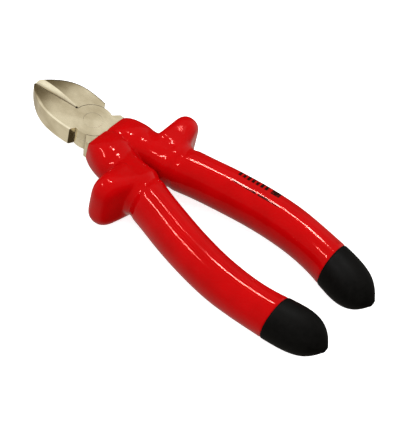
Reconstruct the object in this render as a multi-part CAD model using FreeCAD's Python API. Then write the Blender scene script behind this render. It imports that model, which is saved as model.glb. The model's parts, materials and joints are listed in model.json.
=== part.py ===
"""Insulated diagonal cutting pliers, 180 mm, with dipped handles and finger guards.

Millimetres. The origin is on the rivet's axis at the upper face of the joint. +Y points to the tip
of the jaws, +Z runs along the rivet, and +X points to the right-hand handle. The pliers are closed.
Everything is drawn about the middle plane of the joint, and save() lowers it by half the head's
thickness. Two forged levers cross in a half-lap joint and turn on one flush rivet:

    right_lever   left jaw,  upper half of the joint, right handle
    left_lever    right jaw, lower half of the joint, left handle

Each handle carries, from the steel outwards, an inner insulating layer, a moulded guard collar,
the thick outer layer and a second dip over the end. "Right" shapes are drawn at x > 0 and
mirrored for the left.
"""

import FreeCAD
import Part
import math
import os

V = FreeCAD.Vector

# ---- head ------------------------------------------------------------------------------------
HEAD_HALF = 4.9            # half the thickness of the head
TIP_Y = 34.8               # nose of the jaws
DISC_R = 9.2               # round half-lap of each lever
POCKET_R = 9.36            # round pocket that the other lever's half-lap turns in
LAP_GAP = 0.06             # between the two half-laps
EDGE_GAP = 0.02            # from the cutting plane to each jaw when closed
JAW_CORNER = (11.8, 3.3)   # outer rear corner of a jaw
NOTCH_INNER = (8.9, 1.9)   # where the rear of a jaw meets the round neck
JAW_FLANK = [(12.35, 11.0), (10.95, 21.0), (6.1, 29.6), (1.9, 33.9)]  # outer curve, rear to nose
EDGE_REAR = (9.6, 4.6)     # (y, z) of the cutting edge beside the joint
EDGE_TIP = (34.8, 0.2)     # (y, z) of the cutting edge at the nose
UPPER_BEVEL = 48.0         # degrees between the upper bevel and the head's plane
LOWER_BEVEL_RUN = 0.45     # sideways run of the lower flank for each mm of depth
RELIEF_R = 0.6             # round clearance where the cutting edges end
RELIEF_Y = 10.05
CROWN = (115.0, 13.0)      # radius of the top's fall towards the nose, and the y where it starts
BELLY = (82.0, 15.0)       # the same for the underside's rise
TOP_RIM_ROUND = 2.1        # rounding of a jaw's outer edge at the nose, above and below
BOTTOM_RIM_ROUND = 0.8
RIM_REAR = 0.7             # the same at the rear corner

# ---- rivet -----------------------------------------------------------------------------------
RIVET_R = 3.5
RIVET_HEAD_R = 4.4         # spread end, flush in its countersink
RIVET_HEAD_H = 1.1
RUNNING = 0.05             # radial clearance of the rivet in the lever that turns on it

# ---- handles: centre line and steel tang -----------------------------------------------------
SHOULDER_INNER = (1.02, -2.0)
SHOULDER_START = (8.45, -3.6)
SHOULDER_CORNER = (11.45, -6.1)
SHOULDER_END = (11.55, -8.0)
COAT_Y = -8.0              # insulation starts here
TANG_ROOT_Y = -7.0         # the tang starts inside the shoulder
TANG_STEP = 0.5            # steel is this much smaller under the insulation
TANG_HALF = HEAD_HALF - TANG_STEP
TANG_OUTER = [(12.7, -14.0), (14.4, -28.0), (18.6, -50.0), (24.6, -75.0), (26.8, -95.0), (25.2, -115.0)]
TANG_INNER = [(1.2, -14.0), (4.9, -28.0), (10.1, -50.0), (16.0, -75.0), (18.2, -95.0), (16.9, -115.0)]
TANG_END = [(21.9, -132.0), (18.1, -135.5), (14.1, -132.0)]
THROAT = (1.2, -9.0)

# ---- insulation ------------------------------------------------------------------------------
SEAM_X = 0.03              # the two outer layers stop this far from the middle plane
# each section: y, centre x, half width, half height, squareness (2 is an ellipse)
OUTER = [
    (-8.0, 5.00, 7.30, 5.40, 5.0),
    (-9.2, 5.10, 7.95, 6.30, 4.4),
    (-12.0, 5.30, 9.30, 8.20, 3.1),
    (-16.0, 5.90, 10.35, 9.35, 2.4),
    (-19.5, 6.45, 10.70, 9.40, 2.2),
    (-23.5, 7.45, 10.00, 8.60, 2.1),
    (-27.5, 8.85, 9.30, 9.00, 2.1),
    (-32.0, 10.10, 9.75, 9.80, 2.1),
    (-38.0, 11.15, 10.25, 10.40, 2.1),
    (-50.0, 14.25, 9.65, 10.60, 2.1),
    (-62.0, 17.40, 9.60, 10.60, 2.1),
    (-75.0, 20.15, 9.35, 10.60, 2.1),
    (-95.0, 22.40, 9.05, 10.50, 2.1),
    (-115.0, 21.05, 9.05, 10.40, 2.1),
    (-126.0, 19.00, 9.65, 10.60, 2.1),
    (-133.0, 17.80, 9.30, 10.10, 2.1),
    (-138.5, 17.20, 7.60, 8.20, 2.1),
    (-142.6, 16.90, 4.50, 4.80, 2.0),
    (-145.2, 16.80, 1.30, 1.40, 2.0),
]
INNER = [
    (-11.0, 6.55, 6.20, 5.50, 3.6),
    (-16.0, 7.20, 6.60, 5.90, 3.2),
    (-30.0, 10.20, 6.60, 6.50, 2.6),
    (-50.0, 14.35, 6.50, 6.80, 2.4),
    (-75.0, 20.25, 6.40, 6.80, 2.4),
    (-95.0, 22.50, 6.30, 6.80, 2.4),
    (-115.0, 21.05, 6.30, 6.80, 2.4),
    (-130.0, 18.20, 6.20, 6.70, 2.3),
    (-136.5, 17.60, 4.60, 5.00, 2.1),
    (-139.0, 17.20, 2.20, 2.40, 2.0),
]
END_DIP_T = 0.9            # thickness of the second dip
END_DIP_Y = -120.6         # where it starts
END_CORE_Y = -104.0        # the outer layer is redrawn from here on, thinner by the dip

# ---- guard -----------------------------------------------------------------------------------
GUARD_ROOT_X = 12.0
GUARD_TIP_X = 32.0
EAR_MIDDLE_X = (GUARD_ROOT_X + GUARD_TIP_X) / 2
# front y, rear y, lowest z, highest z; the ear hangs a little lower than it rises
GUARD_ROOT = (-25.8, -41.0, -12.4, 10.5)
GUARD_TIP = (-27.0, -34.9, -15.6, 13.4)
GUARD_ROUND = 3.8          # along the ear's front and rear rims
EAR_CORNER = 7.2           # at the tip, seen from the front
EAR_RIM_SLANT = 3.0        # past the ear's middle, a rim runs less than this towards the rear
COLLAR_SKIN = 2.0          # outer layer over the moulded collar
COLLAR_CORNER = 4.2        # the collar ear's own corners and rims
COLLAR_ROUND = 1.6
COLLAR_WALL = 1.2
# the ring's bore: y, centre x, half width, half height, squareness
COLLAR_BORE = [
    (-27.5, 9.70, 6.60, 6.45, 2.6),
    (-32.75, 10.80, 6.60, 6.55, 2.6),
    (-38.0, 11.85, 6.55, 6.65, 2.5),
]

BIG = 400.0                # larger than the tool, for cutting blocks
PRISM_REACH = 30.0         # how far the bevels' prism runs past both ends of the cutting edges
PRISM_HEIGHT = 40.0
LONG_EDGE = 4.0            # a jaw's curved rims are its only outer edges longer than this
OFF_CENTRE = 1.0           # and both ends and the middle lie further than this from the centre planes
SECTION_POINTS = 32        # points on each handle section


def wire_points(points):
    """Closed wire through straight lines."""
    return Part.makePolygon([V(*p) for p in points] + [V(*points[0])])


def spline(points, z):
    """Smooth open edge through (x, y) points at height z."""
    curve = Part.BSplineCurve()
    curve.interpolate([V(x, y, z) for x, y in points])
    return curve.toShape()


def line(a, b, z):
    return Part.makeLine(V(a[0], a[1], z), V(b[0], b[1], z))


def slab(edges, low, high):
    """Solid between two heights over the closed outline made of edges at height low."""
    face = Part.Face(Part.Wire(Part.sortEdges(edges)[0]))
    return face.extrude(V(0, 0, high - low))


def box(x0, x1, y0, y1, z0, z1):
    return Part.makeBox(x1 - x0, y1 - y0, z1 - z0, V(x0, y0, z0))


def disc(radius, low, high):
    return Part.makeCylinder(radius, high - low, V(0, 0, low))


def mirror_x(shape):
    return shape.mirror(V(0, 0, 0), V(1, 0, 0))


def section(y, centre, half_width, half_height, power):
    """Rounded closed curve in the plane at y. The power sets how square it is."""
    points = []
    for i in range(SECTION_POINTS):
        angle = 2 * math.pi * i / SECTION_POINTS
        c, s = math.cos(angle), math.sin(angle)
        x = centre + half_width * math.copysign(abs(c) ** (2 / power), c)
        z = half_height * math.copysign(abs(s) ** (2 / power), s)
        points.append(V(x, y, z))
    curve = Part.BSplineCurve()
    curve.interpolate(points, PeriodicFlag=True)
    return Part.Wire(curve.toShape())


def tube(sections):
    return Part.makeLoft([section(*s) for s in sections], True, False)


# ---- steel -----------------------------------------------------------------------------------
def jaw_blank(low, high):
    """Right jaw before the bevels are ground: its plan outline between two heights."""
    nose = (EDGE_GAP, TIP_Y)
    inside = (EDGE_GAP, NOTCH_INNER[1])
    flank = [JAW_CORNER] + JAW_FLANK
    return slab(
        [
            line(inside, nose, low),
            line(nose, flank[-1], low),
            spline(flank, low),
            line(JAW_CORNER, NOTCH_INNER, low),
            line(NOTCH_INNER, inside, low),
        ],
        low,
        high,
    )


def edge_prism(up):
    """Long prism whose apex is the cutting edge: the V that the bevels leave above or below it."""
    (y0, z0), (y1, z1) = EDGE_REAR, EDGE_TIP
    slope = (z1 - z0) / (y1 - y0)
    ya, yb = y0 - PRISM_REACH, y1 + PRISM_REACH
    za, zb = z0 - slope * PRISM_REACH, z1 + slope * PRISM_REACH
    if up:
        height = PRISM_HEIGHT
        run = PRISM_HEIGHT / math.tan(math.radians(UPPER_BEVEL))
    else:
        height = -PRISM_HEIGHT
        run = PRISM_HEIGHT * LOWER_BEVEL_RUN
    ends = []
    for y, z in ((ya, za), (yb, zb)):
        ends.append(wire_points([(0, y, z), (run, y, z + height), (-run, y, z + height)]))
    return Part.makeLoft(ends, True, True)


def outside_arc(arc, up):
    """What the crown or the belly takes off: all that lies beyond a wide arc towards the nose."""
    radius, start = arc
    room = box(-BIG, BIG, start, TIP_Y + 1, 0, HEAD_HALF + 1)
    roller = Part.makeCylinder(radius, 2 * BIG, V(-BIG, start, HEAD_HALF - radius), V(1, 0, 0))
    shape = room.cut(roller)
    return shape if up else shape.mirror(V(0, 0, 0), V(0, 0, 1))


def round_rim(jaw, nose_radius, z_sign):
    """Rounds a right jaw's curved outer edge above or below, fading out at its rear corner."""
    for edge in jaw.Edges:
        outside = min(v.X for v in edge.Vertexes) > OFF_CENTRE
        if outside and edge.Length > LONG_EDGE and z_sign * edge.CenterOfMass.z > OFF_CENTRE:
            rear_first = edge.Vertexes[0].Y < edge.Vertexes[-1].Y
            radii = (RIM_REAR, nose_radius) if rear_first else (nose_radius, RIM_REAR)
            return jaw.makeFillet(radii[0], radii[1], [edge])
    return jaw


def finished_jaw():
    """Right jaw with its crown, belly, rounded rims, bevels and the relief behind the edges."""
    jaw = jaw_blank(-HEAD_HALF, HEAD_HALF)
    jaw = jaw.cut(outside_arc(CROWN, True)).cut(outside_arc(BELLY, False))
    jaw = round_rim(jaw, TOP_RIM_ROUND, 1)
    jaw = round_rim(jaw, BOTTOM_RIM_ROUND, -1)
    lower_v = edge_prism(False).common(box(-BIG, BIG, RELIEF_Y, BIG, -BIG, BIG))
    relief = Part.makeCylinder(RELIEF_R, BIG, V(0, RELIEF_Y, -BIG / 2))
    return jaw.cut(edge_prism(True)).cut(lower_v).cut(relief)


def shoulder(low, high):
    """Right shoulder of the head, between the round neck and the insulation."""
    return slab(
        [
            line(SHOULDER_INNER, SHOULDER_START, low),
            line(SHOULDER_START, SHOULDER_CORNER, low),
            line(SHOULDER_CORNER, SHOULDER_END, low),
            line(SHOULDER_END, (THROAT[0], COAT_Y), low),
            line((THROAT[0], COAT_Y), SHOULDER_INNER, low),
        ],
        low,
        high,
    )


def tang():
    """Right tang: the forged bar inside the insulation."""
    root = (SHOULDER_END[0] - TANG_STEP, TANG_ROOT_Y)
    inner_root = (THROAT[0], TANG_ROOT_Y)
    outer = [root] + TANG_OUTER + [TANG_END[0]]
    inner = [inner_root, THROAT] + TANG_INNER + [TANG_END[2]]
    end = Part.Arc(*[V(x, y, -TANG_HALF) for x, y in TANG_END]).toShape()
    return slab(
        [spline(outer, -TANG_HALF), end, spline(inner, -TANG_HALF), line(inner_root, root, -TANG_HALF)],
        -TANG_HALF,
        TANG_HALF,
    )


def rivet():
    """Flush rivet: a straight shank with a spread end at each face."""
    half = HEAD_HALF
    profile = [
        (0, 0, -half),
        (RIVET_HEAD_R, 0, -half),
        (RIVET_R, 0, -half + RIVET_HEAD_H),
        (RIVET_R, 0, half - RIVET_HEAD_H),
        (RIVET_HEAD_R, 0, half),
        (0, 0, half),
    ]
    return Part.Face(wire_points(profile)).revolve(V(0, 0, 0), V(0, 0, 1), 360)


def rivet_hole(clearance):
    """Through hole with both countersinks, larger than the rivet by the clearance."""
    half = HEAD_HALF
    head = RIVET_HEAD_R + clearance
    shank = RIVET_R + clearance
    profile = [
        (0, 0, -half - 1),
        (head, 0, -half - 1),
        (head, 0, -half),
        (shank, 0, -half + RIVET_HEAD_H),
        (shank, 0, half - RIVET_HEAD_H),
        (head, 0, half),
        (head, 0, half + 1),
        (0, 0, half + 1),
    ]
    return Part.Face(wire_points(profile)).revolve(V(0, 0, 0), V(0, 0, 1), 360)


def lever(jaw_side, upper):
    """One forged lever. Its jaw is on jaw_side, its handle on the other, and its half-lap is
    the upper or the lower half of the joint."""
    half = HEAD_HALF
    gap = LAP_GAP / 2
    lap = (gap, half) if upper else (-half, -gap)
    rest = (-half, gap) if upper else (-gap, half)
    jaw = finished_jaw()
    root = shoulder(-half, half).fuse(tang())
    if jaw_side < 0:
        jaw = mirror_x(jaw)
    else:
        root = mirror_x(root)
    whole = jaw.fuse(root)
    beside = whole.common(box(-BIG, BIG, -BIG, BIG, *rest)).cut(disc(POCKET_R, -half - 1, half + 1))
    relief = Part.makeCylinder(RELIEF_R, BIG, V(0, RELIEF_Y, -BIG / 2))
    body = whole.common(box(-BIG, BIG, -BIG, BIG, *lap)).fuse(disc(DISC_R, *lap)).fuse(beside)
    body = body.cut(relief).cut(rivet_hole(0.0 if upper else RUNNING))
    return body.removeSplitter()


def largest(shape):
    return max(shape.Solids, key=lambda s: s.Volume)


# ---- insulation ------------------------------------------------------------------------------
def ear(skin, corner, rim):
    """Guard ear: a tapered block, smaller all round by skin, with rounded tip corners and rims."""
    ends = []
    for x, faces in ((GUARD_ROOT_X + skin, GUARD_ROOT), (GUARD_TIP_X - skin, GUARD_TIP)):
        front = faces[0] - skin
        rear = faces[1] + skin
        low = faces[2] + skin
        high = faces[3] - skin
        ends.append(wire_points([(x, front, low), (x, front, high), (x, rear, high), (x, rear, low)]))
    block = Part.makeLoft(ends, True, True)
    corners = [e for e in block.Edges if is_tip_corner(e)]
    block = block.makeFillet(corner, corners)
    rims = [e for e in block.Edges if is_rim(e)]
    return block.makeFillet(rim, rims)


def is_tip_corner(edge):
    """True for the two edges that cross the ear's tip from front to rear."""
    at_tip = min(v.X for v in edge.Vertexes) > EAR_MIDDLE_X
    return at_tip and abs(edge.Vertexes[0].Y - edge.Vertexes[-1].Y) > EAR_RIM_SLANT


def is_rim(edge):
    """True for the edges round the front and rear faces of the ear, but not those at its root."""
    past_root = max(v.X for v in edge.Vertexes) > EAR_MIDDLE_X
    return past_root and not is_tip_corner(edge)


def clear_of_joint(shape, steel):
    """Keeps insulation off the steel and off the round space that the half-laps turn in."""
    turning = disc(POCKET_R, -HEAD_HALF - LAP_GAP, HEAD_HALF + LAP_GAP)
    return shape.cut(turning).cut(steel)


def is_core(y, half_width):
    """True for the sections that the end dip covers, short of its last drop."""
    return y < END_CORE_Y and half_width > 2 * END_DIP_T


def insulation(steel):
    """Inner layer, guard collar, outer layer and end dip of the right handle."""
    outer = tube(OUTER).cut(box(-BIG, SEAM_X, -BIG, BIG, -BIG, BIG))
    core = tube([(y, cx, a - END_DIP_T, b - END_DIP_T, n) for y, cx, a, b, n in OUTER if is_core(y, a)])
    behind = box(-BIG, BIG, -BIG, END_DIP_Y, -BIG, BIG)
    end_dip = outer.common(behind).cut(core)
    body = outer.cut(behind).fuse(ear(0.0, EAR_CORNER, GUARD_ROUND)).fuse(core)

    inner_solid = tube(INNER)
    collar_ring = tube([(y, cx, a + COLLAR_WALL, b + COLLAR_WALL, n) for y, cx, a, b, n in COLLAR_BORE])
    collar_solid = collar_ring.fuse(ear(COLLAR_SKIN, COLLAR_CORNER, COLLAR_ROUND))
    inner = clear_of_joint(inner_solid, steel)
    collar = collar_solid.cut(inner_solid)
    body = clear_of_joint(body.cut(inner_solid).cut(collar_solid), steel)
    return largest(inner), largest(collar), largest(body), largest(end_dip)


def save(name, shape):
    placed = shape.translated(V(0, 0, -HEAD_HALF))
    placed.exportStep("parts/%s.step" % name)
    print(name, "solids", len(placed.Solids), "valid", placed.isValid(), "volume", round(placed.Volume, 1))


def main():
    os.makedirs("parts", exist_ok=True)
    right_lever = largest(lever(-1, True))
    left_lever = largest(lever(1, False))
    save("right_lever", right_lever)
    save("left_lever", left_lever)
    save("joint_rivet", rivet())
    names = ("inner_insulation", "guard_collar", "outer_insulation", "end_dip")
    for side, steel in (("right", right_lever), ("left", mirror_x(left_lever))):
        for name, shape in zip(names, insulation(steel)):
            save("%s_%s" % (side, name), shape if side == "right" else mirror_x(shape))


main()
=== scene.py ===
"""Looks for the insulated diagonal cutting pliers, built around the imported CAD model.

The steel levers and the rivet stay as the CAD made them and get a ground, plated finish. The red
dips and the black ends are rebuilt as smooth skins over the CAD solids, with the soft hollows that
plastisol leaves where it runs, a low ring and a neck where each guard ends, and a crease between
the two coats. Millimetre values are turned into metres by MM.
"""

import json
import math

import bmesh
import bpy
import numpy as np
from mathutils import Matrix, Vector, noise
from mathutils.bvhtree import BVHTree

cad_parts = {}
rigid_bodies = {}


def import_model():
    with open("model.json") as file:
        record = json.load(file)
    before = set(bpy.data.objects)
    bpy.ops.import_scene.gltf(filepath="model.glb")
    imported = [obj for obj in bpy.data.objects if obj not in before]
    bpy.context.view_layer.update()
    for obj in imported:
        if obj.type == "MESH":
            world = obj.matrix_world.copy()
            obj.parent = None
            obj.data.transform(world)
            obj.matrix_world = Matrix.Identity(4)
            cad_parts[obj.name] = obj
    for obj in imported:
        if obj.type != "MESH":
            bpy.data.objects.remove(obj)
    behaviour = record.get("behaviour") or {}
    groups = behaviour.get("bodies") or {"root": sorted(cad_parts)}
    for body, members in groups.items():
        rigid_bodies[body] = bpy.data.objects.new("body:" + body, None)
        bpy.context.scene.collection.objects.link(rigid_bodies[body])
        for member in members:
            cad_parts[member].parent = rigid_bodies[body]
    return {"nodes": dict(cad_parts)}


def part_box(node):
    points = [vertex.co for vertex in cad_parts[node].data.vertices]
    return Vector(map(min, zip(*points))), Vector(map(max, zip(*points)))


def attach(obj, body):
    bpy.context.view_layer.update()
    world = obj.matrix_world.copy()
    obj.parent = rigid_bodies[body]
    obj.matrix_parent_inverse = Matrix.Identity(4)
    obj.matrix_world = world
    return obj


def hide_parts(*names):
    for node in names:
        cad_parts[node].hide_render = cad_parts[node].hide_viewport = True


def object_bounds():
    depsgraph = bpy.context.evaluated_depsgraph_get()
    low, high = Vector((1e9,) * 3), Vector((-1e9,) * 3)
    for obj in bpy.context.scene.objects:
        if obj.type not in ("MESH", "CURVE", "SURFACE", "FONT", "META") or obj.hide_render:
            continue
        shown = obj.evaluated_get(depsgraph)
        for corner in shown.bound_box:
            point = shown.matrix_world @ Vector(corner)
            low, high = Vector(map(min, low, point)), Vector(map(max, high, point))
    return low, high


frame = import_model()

MM = 0.001
CAD_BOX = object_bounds()
SIDES = ("right", "left")

# ---- skins -----------------------------------------------------------------------------------
COAT_VOXEL = 0.60 * MM
END_VOXEL = 0.50 * MM
END_PROUD = 0.15 * MM         # the black dip stands this far proud of the red
SEAM_GAP = 0.06 * MM          # between the two coats when the tool is closed
SMOOTH_STEPS = 40             # passes that take out the steps of the squares
SWELL = 0.06 * MM             # height of the slow waves that dipping leaves
SWELL_LENGTH = 14 * MM
HOLLOW_STEPS = 25             # passes that fill the hollows beside the guards
HOLLOW_SPREAD = 12 * MM       # how far along the handle, past the guard, they reach
SEAM_DEPTH = 0.40 * MM        # of the crease between the two coats
SEAM_WIDTH = 0.9 * MM
WRINKLE_LENGTH = 2.2 * MM     # the crease deepens and fades over this length
CREASE_REACH = 3              # points further off than this many widths are left alone
EAR_STEPS = 50                # passes that round the guards' ears off
EAR_PLUMP = 0.7 * MM          # and how far they are then swollen, to keep their size
EAR_ROOT = 19 * MM            # the ears stand further out than this from the middle plane
EAR_REACH = 4 * MM            # and reach this far before and behind the hidden collars
SMOOTH_IN = 0.5               # share of the way to the neighbours' mean in one smoothing pass
SMOOTH_OUT = 0.53             # and the slightly longer way back, which stops the body shrinking
HOLLOW_SHARE = 0.9            # share of a hollow's depth that one filling pass takes away
FULL_WEIGHT_PAST = 0.4        # hollows are filled fully to this share of HOLLOW_SPREAD past the guard
END_SMOOTH_STEPS = 3          # the black dip keeps its shape, so it is smoothed only a little
END_SWELL = 0.5 * SWELL

# rings round each handle where the guard ends: place along the handle, height, half width; mm
RINGS = ((-38.6, 0.40, 2.0), (-42.4, -0.50, 1.6))

# ---- gloss of the red coats ------------------------------------------------------------------
GLOSS = 0.22                  # seen straight on
GRAZING_GLOSS = 0.03          # seen at a grazing angle
GLOSS_FADE = (0.45, 0.90)     # how far the surface has turned away where the fade starts and ends

# ---- camera: direction from the target, and how far it leans ---------------------------------
CAMERA_TARGET = Vector((-0.5, -63.8, -4.9)) * MM
CAMERA_DISTANCE = 629.6 * MM
CAMERA_AZIMUTH = math.radians(-152.14)     # from +X towards +Y
CAMERA_ELEVATION = math.radians(49.52)
CAMERA_ROLL = math.radians(15.75)
CAMERA_LENS = 124.67                       # mm, on a 36 mm sensor along the picture's long side

# ---- lamps: the direction each is seen in the gloss, its size across and along, how far it is
# ---- turned from upright, and its brightness
LAMP_DISTANCE = 0.9
LAMPS = (
    ("lamp_high", (0.25, 0.21, 0.95), 0.110, 0.12, 45.0, 175.0),
    ("lamp_low", (0.25, 0.41, 0.88), 0.045, 0.10, 32.0, 90.0),
    ("lamp_side", (-0.44, 0.54, 0.72), 0.36, 0.050, 0.0, 150.0),
)
SOFT_SIDE = Vector((-0.20, 0.0, 1.0))     # the soft light comes from above, a little from the left
SOFT_LIGHT = ((-1.0, 0.10), (-0.2, 0.36), (0.2, 0.85), (1.0, 1.44))   # against the turn to SOFT_SIDE
FLOOR_GLOW = 0.75             # keeps the shadows on the floor faint
FLOOR_HALF = 3.0              # metres from its middle to each side

# ---- what polished surfaces mirror: brightness against the turn of the view to each of three
# ---- directions, from -1 facing away to 1 facing it. The three are multiplied.
DARK_BEHIND = Vector((0.62, 0.78, 0.0))
BEHIND_BANDS = (
    (-1.0, 0.95), (0.50, 0.95), (0.64, 0.72), (0.715, 0.66), (0.75, 0.34), (0.80, 0.14), (1.0, 0.06),
)
DARK_HANDLES = Vector((0.0, -1.0, -0.3))
HANDLE_BANDS = ((-1.0, 1.0), (0.40, 1.0), (0.75, 0.10), (1.0, 0.06))
UP = Vector((0.0, 0.0, 1.0))
UP_BANDS = ((-1.0, 0.60), (-0.30, 0.66), (0.10, 1.0), (1.0, 1.0))
WARM = (1.0, 1.10, 1.30)      # powers of red, green and blue that turn the dark parts brown
NEUTRAL = (1, 1, 1)           # and powers that leave them grey

# ---- print: plain strokes on the right handle, laid along a line from START to END in plan ----
PRINT_START = Vector((17.8, -64.0)) * MM
PRINT_END = Vector((21.9, -90.0)) * MM
INK_PROUD = 0.04 * MM
INK_STEP = 0.5 * MM           # size of the ink's squares
# each stroke: from, to along the line and from, to across it, outwards; mm
STROKES = [(2.0 + 2.2 * i, 3.3 + 2.2 * i, 2.2, 6.4 - 1.5 * (i % 3 == 1)) for i in range(7)]
STROKES += [(18.4, 22.6, 2.0, 6.2)]
STROKES += [(1.0, 13.5, -2.4, -1.5), (14.5, 25.0, -2.4, -1.5)]


# ---- node helpers ----------------------------------------------------------------------------
class Shader:
    """A material being built: makes nodes and joins them by name."""

    def __init__(self, name):
        self.material = bpy.data.materials.new(name)
        self.material.use_nodes = True
        self.tree = self.material.node_tree
        self.body = self.tree.nodes["Principled BSDF"]

    def node(self, kind, **settings):
        made = self.tree.nodes.new(kind)
        for key, value in settings.items():
            setattr(made, key, value)
        return made

    def join(self, out_socket, in_socket):
        self.tree.links.new(out_socket, in_socket)

    def set(self, **values):
        for key, value in values.items():
            self.body.inputs[key.replace("_", " ")].default_value = value

    def place(self, scale):
        """Object coordinates times scale, for textures fixed to the part."""
        coordinates = self.node("ShaderNodeTexCoord")
        mapping = self.node("ShaderNodeMapping")
        mapping.inputs["Scale"].default_value = scale
        self.join(coordinates.outputs["Object"], mapping.inputs["Vector"])
        return mapping.outputs["Vector"]

    def noise(self, scale, detail=4.0, rough=0.5):
        made = self.node("ShaderNodeTexNoise")
        made.inputs["Scale"].default_value = 1.0
        made.inputs["Detail"].default_value = detail
        made.inputs["Roughness"].default_value = rough
        self.join(self.place(scale), made.inputs["Vector"])
        return made.outputs["Fac"]

    def ramp(self, source, low, high, low_value, high_value):
        """Maps source from low..high to low_value..high_value."""
        made = self.node("ShaderNodeMapRange")
        made.inputs["From Min"].default_value = low
        made.inputs["From Max"].default_value = high
        made.inputs["To Min"].default_value = low_value
        made.inputs["To Max"].default_value = high_value
        self.join(source, made.inputs["Value"])
        return made.outputs["Result"]

    def mix(self, factor, first, second):
        """Colour mix. first and second are colours or sockets."""
        made = self.node("ShaderNodeMix", data_type="RGBA")
        self.join(factor, made.inputs["Factor"])
        for socket, value in ((made.inputs[6], first), (made.inputs[7], second)):
            if isinstance(value, tuple):
                socket.default_value = value
            else:
                self.join(value, socket)
        return made.outputs[2]

    def wet_gloss(self):
        """A gloss that dies away at grazing angles, so that the edges keep their colour."""
        facing = self.node("ShaderNodeLayerWeight")
        facing.inputs["Blend"].default_value = 0.5
        level = self.ramp(facing.outputs["Facing"], *GLOSS_FADE, GLOSS, GRAZING_GLOSS)
        self.join(level, self.body.inputs["Specular IOR Level"])

    def bump(self, height, distance, strength=1.0, under=None):
        made = self.node("ShaderNodeBump")
        made.inputs["Distance"].default_value = distance
        made.inputs["Strength"].default_value = strength
        self.join(height, made.inputs["Height"])
        if under is not None:
            self.join(under, made.inputs["Normal"])
        return made.outputs["Normal"]


# ---- materials -------------------------------------------------------------------------------
def steel_material():
    """Satin nickel over ground steel: faint grind lines across the tool, mottling, soft edges, and
    painted shade in the recesses.
    """
    s = Shader("ground_steel")
    s.set(Metallic=1.0)
    mottle = s.noise((85, 60, 85), 3.0, 0.55)
    lines = s.noise((500, 2600, 500), 2.0, 0.5)
    base = s.mix(s.ramp(mottle, 0.38, 0.62, 0.0, 1.0), (0.69, 0.60, 0.41, 1), (0.95, 0.86, 0.63, 1))
    # painted shade: the steel's colour turns dark brown in corners and recesses, where less light
    # reaches
    occlusion = s.node("ShaderNodeAmbientOcclusion", samples=6)
    occlusion.inputs["Distance"].default_value = 2.5 * MM
    painted_recess_shade = s.ramp(occlusion.outputs["AO"], 0.35, 0.85, 1.0, 0.0)
    s.join(s.mix(painted_recess_shade, base, (0.16, 0.12, 0.08, 1)), s.body.inputs["Base Color"])
    s.join(s.ramp(lines, 0.3, 0.7, 0.10, 0.16), s.body.inputs["Roughness"])
    edge = s.node("ShaderNodeBevel", samples=6)
    edge.inputs["Radius"].default_value = 0.22 * MM
    s.join(s.bump(lines, 0.004 * MM, 0.5, edge.outputs["Normal"]), s.body.inputs["Normal"])
    return s.material


def red_material():
    """Thick glossy plastisol: deep red, faint unevenness of colour, and a wet skin."""
    s = Shader("red_plastisol")
    s.set(Roughness=0.09, IOR=1.46)
    s.wet_gloss()
    s.body.inputs["Specular Tint"].default_value = (1.0, 0.22, 0.18, 1)
    tone = s.noise((95, 95, 95), 3.0, 0.5)
    base = s.mix(s.ramp(tone, 0.35, 0.65, 0.0, 1.0), (0.50, 0.0012, 0.002, 1), (0.56, 0.0014, 0.0025, 1))
    s.join(base, s.body.inputs["Base Color"])
    waves = s.noise((180, 180, 180), 1.0, 0.4)
    skin = s.noise((1600, 1600, 1600), 2.0, 0.5)
    flow = s.bump(waves, 0.02 * MM, 0.20)
    s.join(s.bump(skin, 0.002 * MM, 0.25, flow), s.body.inputs["Normal"])
    return s.material


def black_material():
    """Second dip: nearly matte black with a fine dull grain."""
    s = Shader("black_plastisol")
    s.body.inputs["Specular IOR Level"].default_value = 0.03
    tone = s.noise((400, 400, 400), 4.0, 0.6)
    share = s.ramp(tone, 0.3, 0.7, 0.0, 1.0)
    base = s.mix(share, (0.0028, 0.0026, 0.0022, 1), (0.0048, 0.0044, 0.0038, 1))
    s.join(base, s.body.inputs["Base Color"])
    s.join(s.ramp(tone, 0.3, 0.7, 0.48, 0.62), s.body.inputs["Roughness"])
    grain = s.noise((4200, 4200, 4200), 2.0, 0.6)
    s.join(s.bump(grain, 0.02 * MM, 0.5), s.body.inputs["Normal"])
    return s.material


def plain_plastic(name, colour):
    """Moulded or dipped plastic of the hidden layers."""
    s = Shader(name)
    s.set(Roughness=0.5)
    tone = s.noise((300, 300, 300), 3.0, 0.5)
    darker = tuple(0.8 * c for c in colour[:3]) + (1,)
    s.join(s.mix(tone, darker, colour), s.body.inputs["Base Color"])
    s.join(s.bump(tone, 0.05 * MM, 0.3), s.body.inputs["Normal"])
    return s.material


def print_material():
    """Thin black printing ink, worn so that some red shows, under the same wet gloss."""
    s = Shader("printing_ink")
    s.set(Roughness=0.10)
    s.wet_gloss()
    s.body.inputs["Specular Tint"].default_value = (1.0, 0.30, 0.26, 1)
    wear = s.noise((900, 900, 900), 4.0, 0.6)
    base = s.mix(s.ramp(wear, 0.52, 0.66, 0.0, 1.0), (0.010, 0.002, 0.002, 1), (0.20, 0.003, 0.003, 1))
    s.join(base, s.body.inputs["Base Color"])
    return s.material


def floor_material():
    s = Shader("pale_floor")
    s.set(Roughness=0.9)
    tone = s.noise((8, 8, 8), 2.0, 0.5)
    s.join(s.mix(tone, (0.92, 0.92, 0.92, 1), (0.95, 0.95, 0.95, 1)), s.body.inputs["Base Color"])
    s.body.inputs["Emission Color"].default_value = (1, 1, 1, 1)
    s.body.inputs["Emission Strength"].default_value = FLOOR_GLOW
    return s.material


def paint(obj, material):
    obj.data.materials.clear()
    obj.data.materials.append(material)


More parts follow.
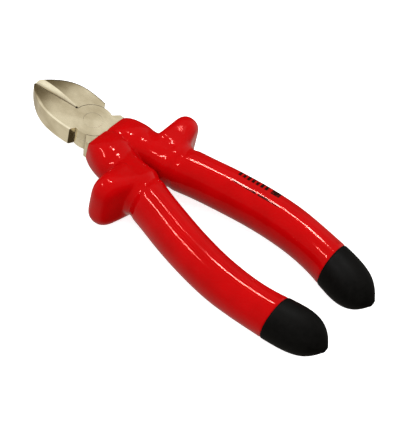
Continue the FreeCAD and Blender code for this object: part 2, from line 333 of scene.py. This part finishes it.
# ---- skins over the CAD solids ---------------------------------------------------------------
def filled_solid(bodies):
    """Closed solids in one bmesh. Each body is a list of CAD nodes: an outer node, then what it
    holds. What sticks out in front of the outer node is cut off flat."""
    joined = bmesh.new()
    for names in bodies:
        _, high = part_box(names[0])
        body = bmesh.new()
        for name in names:
            body.from_mesh(frame["nodes"][name].data)
        bmesh.ops.remove_doubles(body, verts=body.verts, dist=0.0001 * MM)
        cut_flat(body, high, Vector((0, 1, 0)))
        part = bpy.data.meshes.new("part")
        body.to_mesh(part)
        body.free()
        joined.from_mesh(part)
        bpy.data.meshes.remove(part)
    return joined


def cut_flat(solid, point, away):
    """Cuts off what lies past the point in the direction away, and closes the cut with flat faces
    whose edges stay sharp."""
    crease = solid.edges.layers.float.get("crease_edge") or solid.edges.layers.float.new("crease_edge")
    everything = solid.verts[:] + solid.edges[:] + solid.faces[:]
    bmesh.ops.bisect_plane(solid, geom=everything, plane_co=point, plane_no=away, clear_outer=True)
    rim = [e for e in solid.edges if e.is_boundary]
    bmesh.ops.holes_fill(solid, edges=rim, sides=0)
    for edge in rim:
        edge[crease] = 1.0
        edge.smooth = False


def remeshed(shell, name, voxel):
    """The shell as an even mesh of small squares."""
    mesh = bpy.data.meshes.new(name)
    shell.to_mesh(mesh)
    shell.free()
    rough = bpy.data.objects.new(name + "_rough", mesh)
    bpy.context.scene.collection.objects.link(rough)
    squares = rough.modifiers.new("even", "REMESH")
    squares.mode = "VOXEL"
    squares.voxel_size = voxel
    bpy.context.view_layer.update()
    made = bpy.data.meshes.new_from_object(rough.evaluated_get(bpy.context.evaluated_depsgraph_get()))
    bpy.data.objects.remove(rough)
    bpy.data.meshes.remove(mesh)
    made.name = name
    obj = bpy.data.objects.new(name, made)
    bpy.context.scene.collection.objects.link(obj)
    return obj


class Points:
    """A mesh's points as an array, with the averaging that smoothing needs."""

    def __init__(self, obj):
        self.mesh = obj.data
        count = len(self.mesh.vertices)
        self.co = np.empty(count * 3)
        self.mesh.vertices.foreach_get("co", self.co)
        self.co = self.co.reshape(-1, 3)
        edges = np.empty(len(self.mesh.edges) * 2, np.int64)
        self.mesh.edges.foreach_get("vertices", edges)
        self.a, self.b = edges.reshape(-1, 2).T
        links = np.bincount(self.a, minlength=count) + np.bincount(self.b, minlength=count)
        self.links = np.maximum(links, 1)

    def lean(self):
        """From each point to the mean of its neighbours."""
        mean = np.empty_like(self.co)
        count = len(self.co)
        for axis in range(3):
            column = self.co[:, axis]
            total = np.bincount(self.a, column[self.b], count)
            total += np.bincount(self.b, column[self.a], count)
            mean[:, axis] = total / self.links
        return mean - self.co

    def store(self):
        self.mesh.vertices.foreach_set("co", self.co.ravel())
        self.mesh.update()

    def normals(self):
        self.store()
        made = np.empty(len(self.co) * 3)
        self.mesh.vertices.foreach_get("normal", made)
        return made.reshape(-1, 3)

    def smooth(self, passes):
        """Smooths without shrinking: each step in is followed by a slightly longer step out."""
        for _ in range(passes):
            self.co += SMOOTH_IN * self.lean()
            self.co -= SMOOTH_OUT * self.lean()

    def fill_hollows(self, weight, passes):
        """Grows the surface only where it is hollow, as a thick liquid rounds an inside corner."""
        for _ in range(passes):
            step = self.lean()
            normal = self.normals()
            outward = np.maximum((step * normal).sum(1), 0) * weight
            self.co += HOLLOW_SHARE * outward[:, None] * normal

    def round_off(self, weight, passes, plump):
        """Rounds the surface where it has weight, and swells it to make up for the loss."""
        for _ in range(passes):
            self.co += (SMOOTH_IN * weight)[:, None] * self.lean()
        self.co += (plump * weight)[:, None] * self.normals()

    def crease(self, depth, width, length):
        """Presses an uneven crease into the surface along the middle plane."""
        near = np.abs(self.co[:, 0]) < CREASE_REACH * width
        wrinkle = np.array([noise.noise(Vector((0, p[1], p[2])) / length) for p in self.co[near]])
        share = np.exp(-(self.co[near, 0] / width) ** 2) * (1 + wrinkle)
        self.co[near] -= depth * share[:, None] * self.normals()[near]

    def ring(self, place, height, width):
        """Raises or, with a height below 0, sinks a soft ring round both handles."""
        share = np.exp(-((self.co[:, 1] - place) / width) ** 2)
        self.co += height * share[:, None] * self.normals()

    def swell(self, height, length, offset):
        """Slow waves in and out along the surface."""
        normal = self.normals()
        waves = [noise.noise(Vector(p / length) + offset) for p in self.co]
        self.co += height * np.array(waves)[:, None] * normal


def shown_smooth(obj):
    obj.data.shade_smooth()
    finer = obj.modifiers.new("finer", "SUBSURF")
    finer.levels = 1
    finer.render_levels = 1


def guard_weight(points):
    """1 from the mouths to a little past the guards, fading to 0 along the handles."""
    low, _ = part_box("right_guard_collar")
    past = np.maximum(low.y - points.co[:, 1], 0)
    return np.clip(1 + FULL_WEIGHT_PAST - past / HOLLOW_SPREAD, 0, 1)


def ear_weight(points):
    """0 on the handles, rising to 1 towards the tips of the guards' ears."""
    low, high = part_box("right_guard_collar")
    across = np.abs(points.co[:, 0])
    y = points.co[:, 1]
    beside = np.clip((across - EAR_ROOT) / (high.x - EAR_ROOT), 0, 1)
    beside[(y > high.y + EAR_REACH) | (y < low.y - EAR_REACH)] = 0
    return beside


def red_coats(material):
    """The thick red dips with their finger guards, standing for the outer insulation. Both are made
    as one body, so the lobes meet in a tight seam, and then cut apart at the middle plane."""
    bodies = [
        [side + "_outer_insulation", side + "_inner_insulation", side + "_guard_collar", side + "_lever"]
        for side in SIDES
    ]
    both = remeshed(filled_solid(bodies), "both_coats", COAT_VOXEL)
    points = Points(both)
    points.smooth(SMOOTH_STEPS)
    points.fill_hollows(guard_weight(points), HOLLOW_STEPS)
    points.smooth(SMOOTH_STEPS)
    points.round_off(ear_weight(points), EAR_STEPS, EAR_PLUMP)
    for place, height, width in RINGS:
        points.ring(place * MM, height * MM, width * MM)
    points.swell(SWELL, SWELL_LENGTH, Vector((3.1, 0, 0)))
    points.crease(SEAM_DEPTH, SEAM_WIDTH, WRINKLE_LENGTH)
    points.store()
    coats = {}
    for side, outward in (("right", 1), ("left", -1)):
        half = bmesh.new()
        half.from_mesh(both.data)
        cut_flat(half, Vector((outward * SEAM_GAP / 2, 0, 0)), Vector((-outward, 0, 0)))
        mesh = bpy.data.meshes.new(side + "_red_coat")
        half.to_mesh(mesh)
        half.free()
        coat = bpy.data.objects.new(side + "_red_coat", mesh)
        bpy.context.scene.collection.objects.link(coat)
        finish_piece(coat, side, material, "outer_insulation", side + "_outer_insulation")
        coats[side] = coat
    bpy.data.objects.remove(both)
    return coats


def print_marks(coat, material):
    """Plain printed strokes that follow the top of the right handle."""
    bpy.context.view_layer.update()
    skin = BVHTree.FromObject(coat, bpy.context.evaluated_depsgraph_get())
    along = (PRINT_END - PRINT_START).normalized()
    outward = Vector((-along.y, along.x))
    ink = bmesh.new()
    for from_along, to_along, from_across, to_across in STROKES:
        size = Vector((to_along - from_along, to_across - from_across)) * MM
        squares = [max(2, round(length / INK_STEP)) for length in size]
        under, over = [], []
        for i in range(squares[0] + 1):
            for j in range(squares[1] + 1):
                u = from_along * MM + size.x * i / squares[0]
                v = from_across * MM + size.y * j / squares[1]
                spot = PRINT_START + u * along + v * outward
                hit, normal, _, _ = skin.ray_cast(Vector((*spot, CAD_BOX[1].z + MM)), Vector((0, 0, -1)))
                under.append(ink.verts.new(hit - INK_PROUD * normal))
                over.append(ink.verts.new(hit + INK_PROUD * normal))
        fill_stroke(ink, under, over, squares)
    bmesh.ops.recalc_face_normals(ink, faces=ink.faces)
    mesh = bpy.data.meshes.new("right_print_marks")
    ink.to_mesh(mesh)
    ink.free()
    marks = bpy.data.objects.new("right_print_marks", mesh)
    bpy.context.scene.collection.objects.link(marks)
    paint(marks, material)
    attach(marks, "right_half")


def fill_stroke(ink, under, over, squares):
    """Faces of one stroke: its two skins and the walls between them."""
    rows, columns = squares
    step = columns + 1
    for i in range(rows):
        for j in range(columns):
            corners = (i * step + j, (i + 1) * step + j, (i + 1) * step + j + 1, i * step + j + 1)
            for skin in (under, over):
                ink.faces.new([skin[k] for k in corners])
    walls = [(i * step + j, (i + 1) * step + j) for i in range(rows) for j in (0, columns)]
    walls += [(i * step + j, i * step + j + 1) for i in (0, rows) for j in range(columns)]
    for a, b in walls:
        ink.faces.new((under[a], under[b], over[b], over[a]))


def black_end(side, material):
    """The second dip over the handle's end, a little proud of the red with a rounded edge."""
    node = side + "_end_dip"
    body = [node, side + "_outer_insulation"]
    end = remeshed(filled_solid([body]), side + "_black_end", END_VOXEL)
    points = Points(end)
    points.smooth(END_SMOOTH_STEPS)
    points.co += END_PROUD * points.normals()
    points.swell(END_SWELL, SWELL_LENGTH, Vector((1.7, 5.2, 0)))
    points.store()
    finish_piece(end, side, material, "end_dip", node)


def finish_piece(obj, side, material, slot_name, *nodes):
    paint(obj, material)
    shown_smooth(obj)
    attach(obj, side + "_half")
    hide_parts(*nodes)


# ---- stage -----------------------------------------------------------------------------------
def make_floor():
    """A wide pale floor under the lowest point of the guards, left out of every reflection."""
    low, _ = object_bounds()
    half = FLOOR_HALF
    mesh = bpy.data.meshes.new("floor")
    corners = [(-half, -half, low.z), (half, -half, low.z), (half, half, low.z), (-half, half, low.z)]
    mesh.from_pydata(corners, [], [(0, 1, 2, 3)])
    floor = bpy.data.objects.new("floor", mesh)
    bpy.context.scene.collection.objects.link(floor)
    paint(floor, floor_material())
    floor.visible_glossy = False
    floor.visible_diffuse = False


def aim(obj, direction, distance, centre, turn=0.0):
    """Puts obj at a distance along direction from centre, facing centre, turned about that line."""
    outward = Vector(direction).normalized()
    obj.rotation_mode = "QUATERNION"
    obj.location = centre + outward * distance
    obj.rotation_quaternion = outward.to_track_quat("Z", "Y")
    obj.rotation_quaternion.rotate(Matrix.Rotation(turn, 3, outward))


def make_lamp(lit, name, direction, across, along, turn, brightness):
    """A rectangular lamp that is only seen mirrored in the gloss of what the collection lit holds.
    Its brightness counts paper white as 1."""
    data = bpy.data.lights.new(name, "AREA")
    data.shape = "RECTANGLE"
    data.size = across
    data.size_y = along
    data.energy = brightness * math.pi * across * along
    lamp = bpy.data.objects.new(name, data)
    bpy.context.scene.collection.objects.link(lamp)
    lamp.light_linking.receiver_collection = lit
    lamp.visible_diffuse = False
    aim(lamp, direction, LAMP_DISTANCE, CAMERA_TARGET, math.radians(turn))


def banded_room(tree, axis, bands, warm):
    """Brightness that follows how far the view turns towards axis. The powers in warm tint what is
    dark and leave white as it is."""
    coordinates = tree.nodes.new("ShaderNodeTexCoord")
    turn = tree.nodes.new("ShaderNodeVectorMath")
    turn.operation = "DOT_PRODUCT"
    turn.inputs[1].default_value = axis.normalized()
    tree.links.new(coordinates.outputs["Generated"], turn.inputs[0])
    share = tree.nodes.new("ShaderNodeMapRange")
    share.inputs["From Min"].default_value = -1.0
    tree.links.new(turn.outputs["Value"], share.inputs["Value"])
    ramp = tree.nodes.new("ShaderNodeValToRGB")
    elements = ramp.color_ramp.elements
    for i, (at, value) in enumerate(bands):
        stop = elements[i] if i < 2 else elements.new((at + 1) / 2)
        stop.position = (at + 1) / 2
        stop.color = (*(value ** power for power in warm), 1)
    tree.links.new(share.outputs["Result"], ramp.inputs["Fac"])
    return ramp.outputs["Color"]


def make_world():
    """Soft light from above; polished surfaces see a room with dark sides instead."""
    world = bpy.data.worlds.new("studio")
    bpy.context.scene.world = world
    world.use_nodes = True
    tree = world.node_tree
    tree.nodes.clear()
    out = tree.nodes.new("ShaderNodeOutputWorld")
    path = tree.nodes.new("ShaderNodeLightPath")
    pick = tree.nodes.new("ShaderNodeMix")
    pick.data_type = "RGBA"
    light = tree.nodes.new("ShaderNodeBackground")
    mirrored = banded_room(tree, DARK_BEHIND, BEHIND_BANDS, WARM)
    for axis, bands in ((DARK_HANDLES, HANDLE_BANDS), (UP, UP_BANDS)):
        both = tree.nodes.new("ShaderNodeVectorMath")
        both.operation = "MULTIPLY"
        tree.links.new(mirrored, both.inputs[0])
        tree.links.new(banded_room(tree, axis, bands, WARM), both.inputs[1])
        mirrored = both.outputs["Vector"]
    tree.links.new(path.outputs["Is Glossy Ray"], pick.inputs["Factor"])
    tree.links.new(banded_room(tree, SOFT_SIDE, SOFT_LIGHT, NEUTRAL), pick.inputs[6])
    tree.links.new(mirrored, pick.inputs[7])
    tree.links.new(pick.outputs[2], light.inputs["Color"])
    tree.links.new(light.outputs["Background"], out.inputs["Surface"])


def make_camera():
    data = bpy.data.cameras.new("camera")
    data.lens = CAMERA_LENS
    data.sensor_width = 36.0
    camera = bpy.data.objects.new("camera", data)
    bpy.context.scene.collection.objects.link(camera)
    flat = math.cos(CAMERA_ELEVATION)
    direction = Vector((
        flat * math.cos(CAMERA_AZIMUTH),
        flat * math.sin(CAMERA_AZIMUTH),
        math.sin(CAMERA_ELEVATION),
    ))
    aim(camera, direction, CAMERA_DISTANCE, CAMERA_TARGET, CAMERA_ROLL)
    bpy.context.scene.camera = camera


# ---- build -----------------------------------------------------------------------------------
steel = steel_material()
for name in ("right_lever", "left_lever", "joint_rivet"):
    paint(frame["nodes"][name], steel)
red = red_material()
black = black_material()
yellow = plain_plastic("yellow_plastisol", (0.85, 0.55, 0.02, 1))
core = plain_plastic("guard_core", (0.45, 0.02, 0.02, 1))
for side in SIDES:
    paint(frame["nodes"][side + "_inner_insulation"], yellow)
    paint(frame["nodes"][side + "_guard_collar"], core)
    black_end(side, black)
coats = red_coats(red)
print_marks(coats["right"], print_material())

make_floor()
make_world()
lit = bpy.data.collections.new("lit_by_lamps")
for obj in bpy.context.scene.objects:
    if obj.type == "MESH" and obj.data.materials and obj.data.materials[0] != steel:
        lit.objects.link(obj)
for lamp in LAMPS:
    make_lamp(lit, *lamp)
make_camera()
bpy.context.scene.view_settings.view_transform = "Standard"
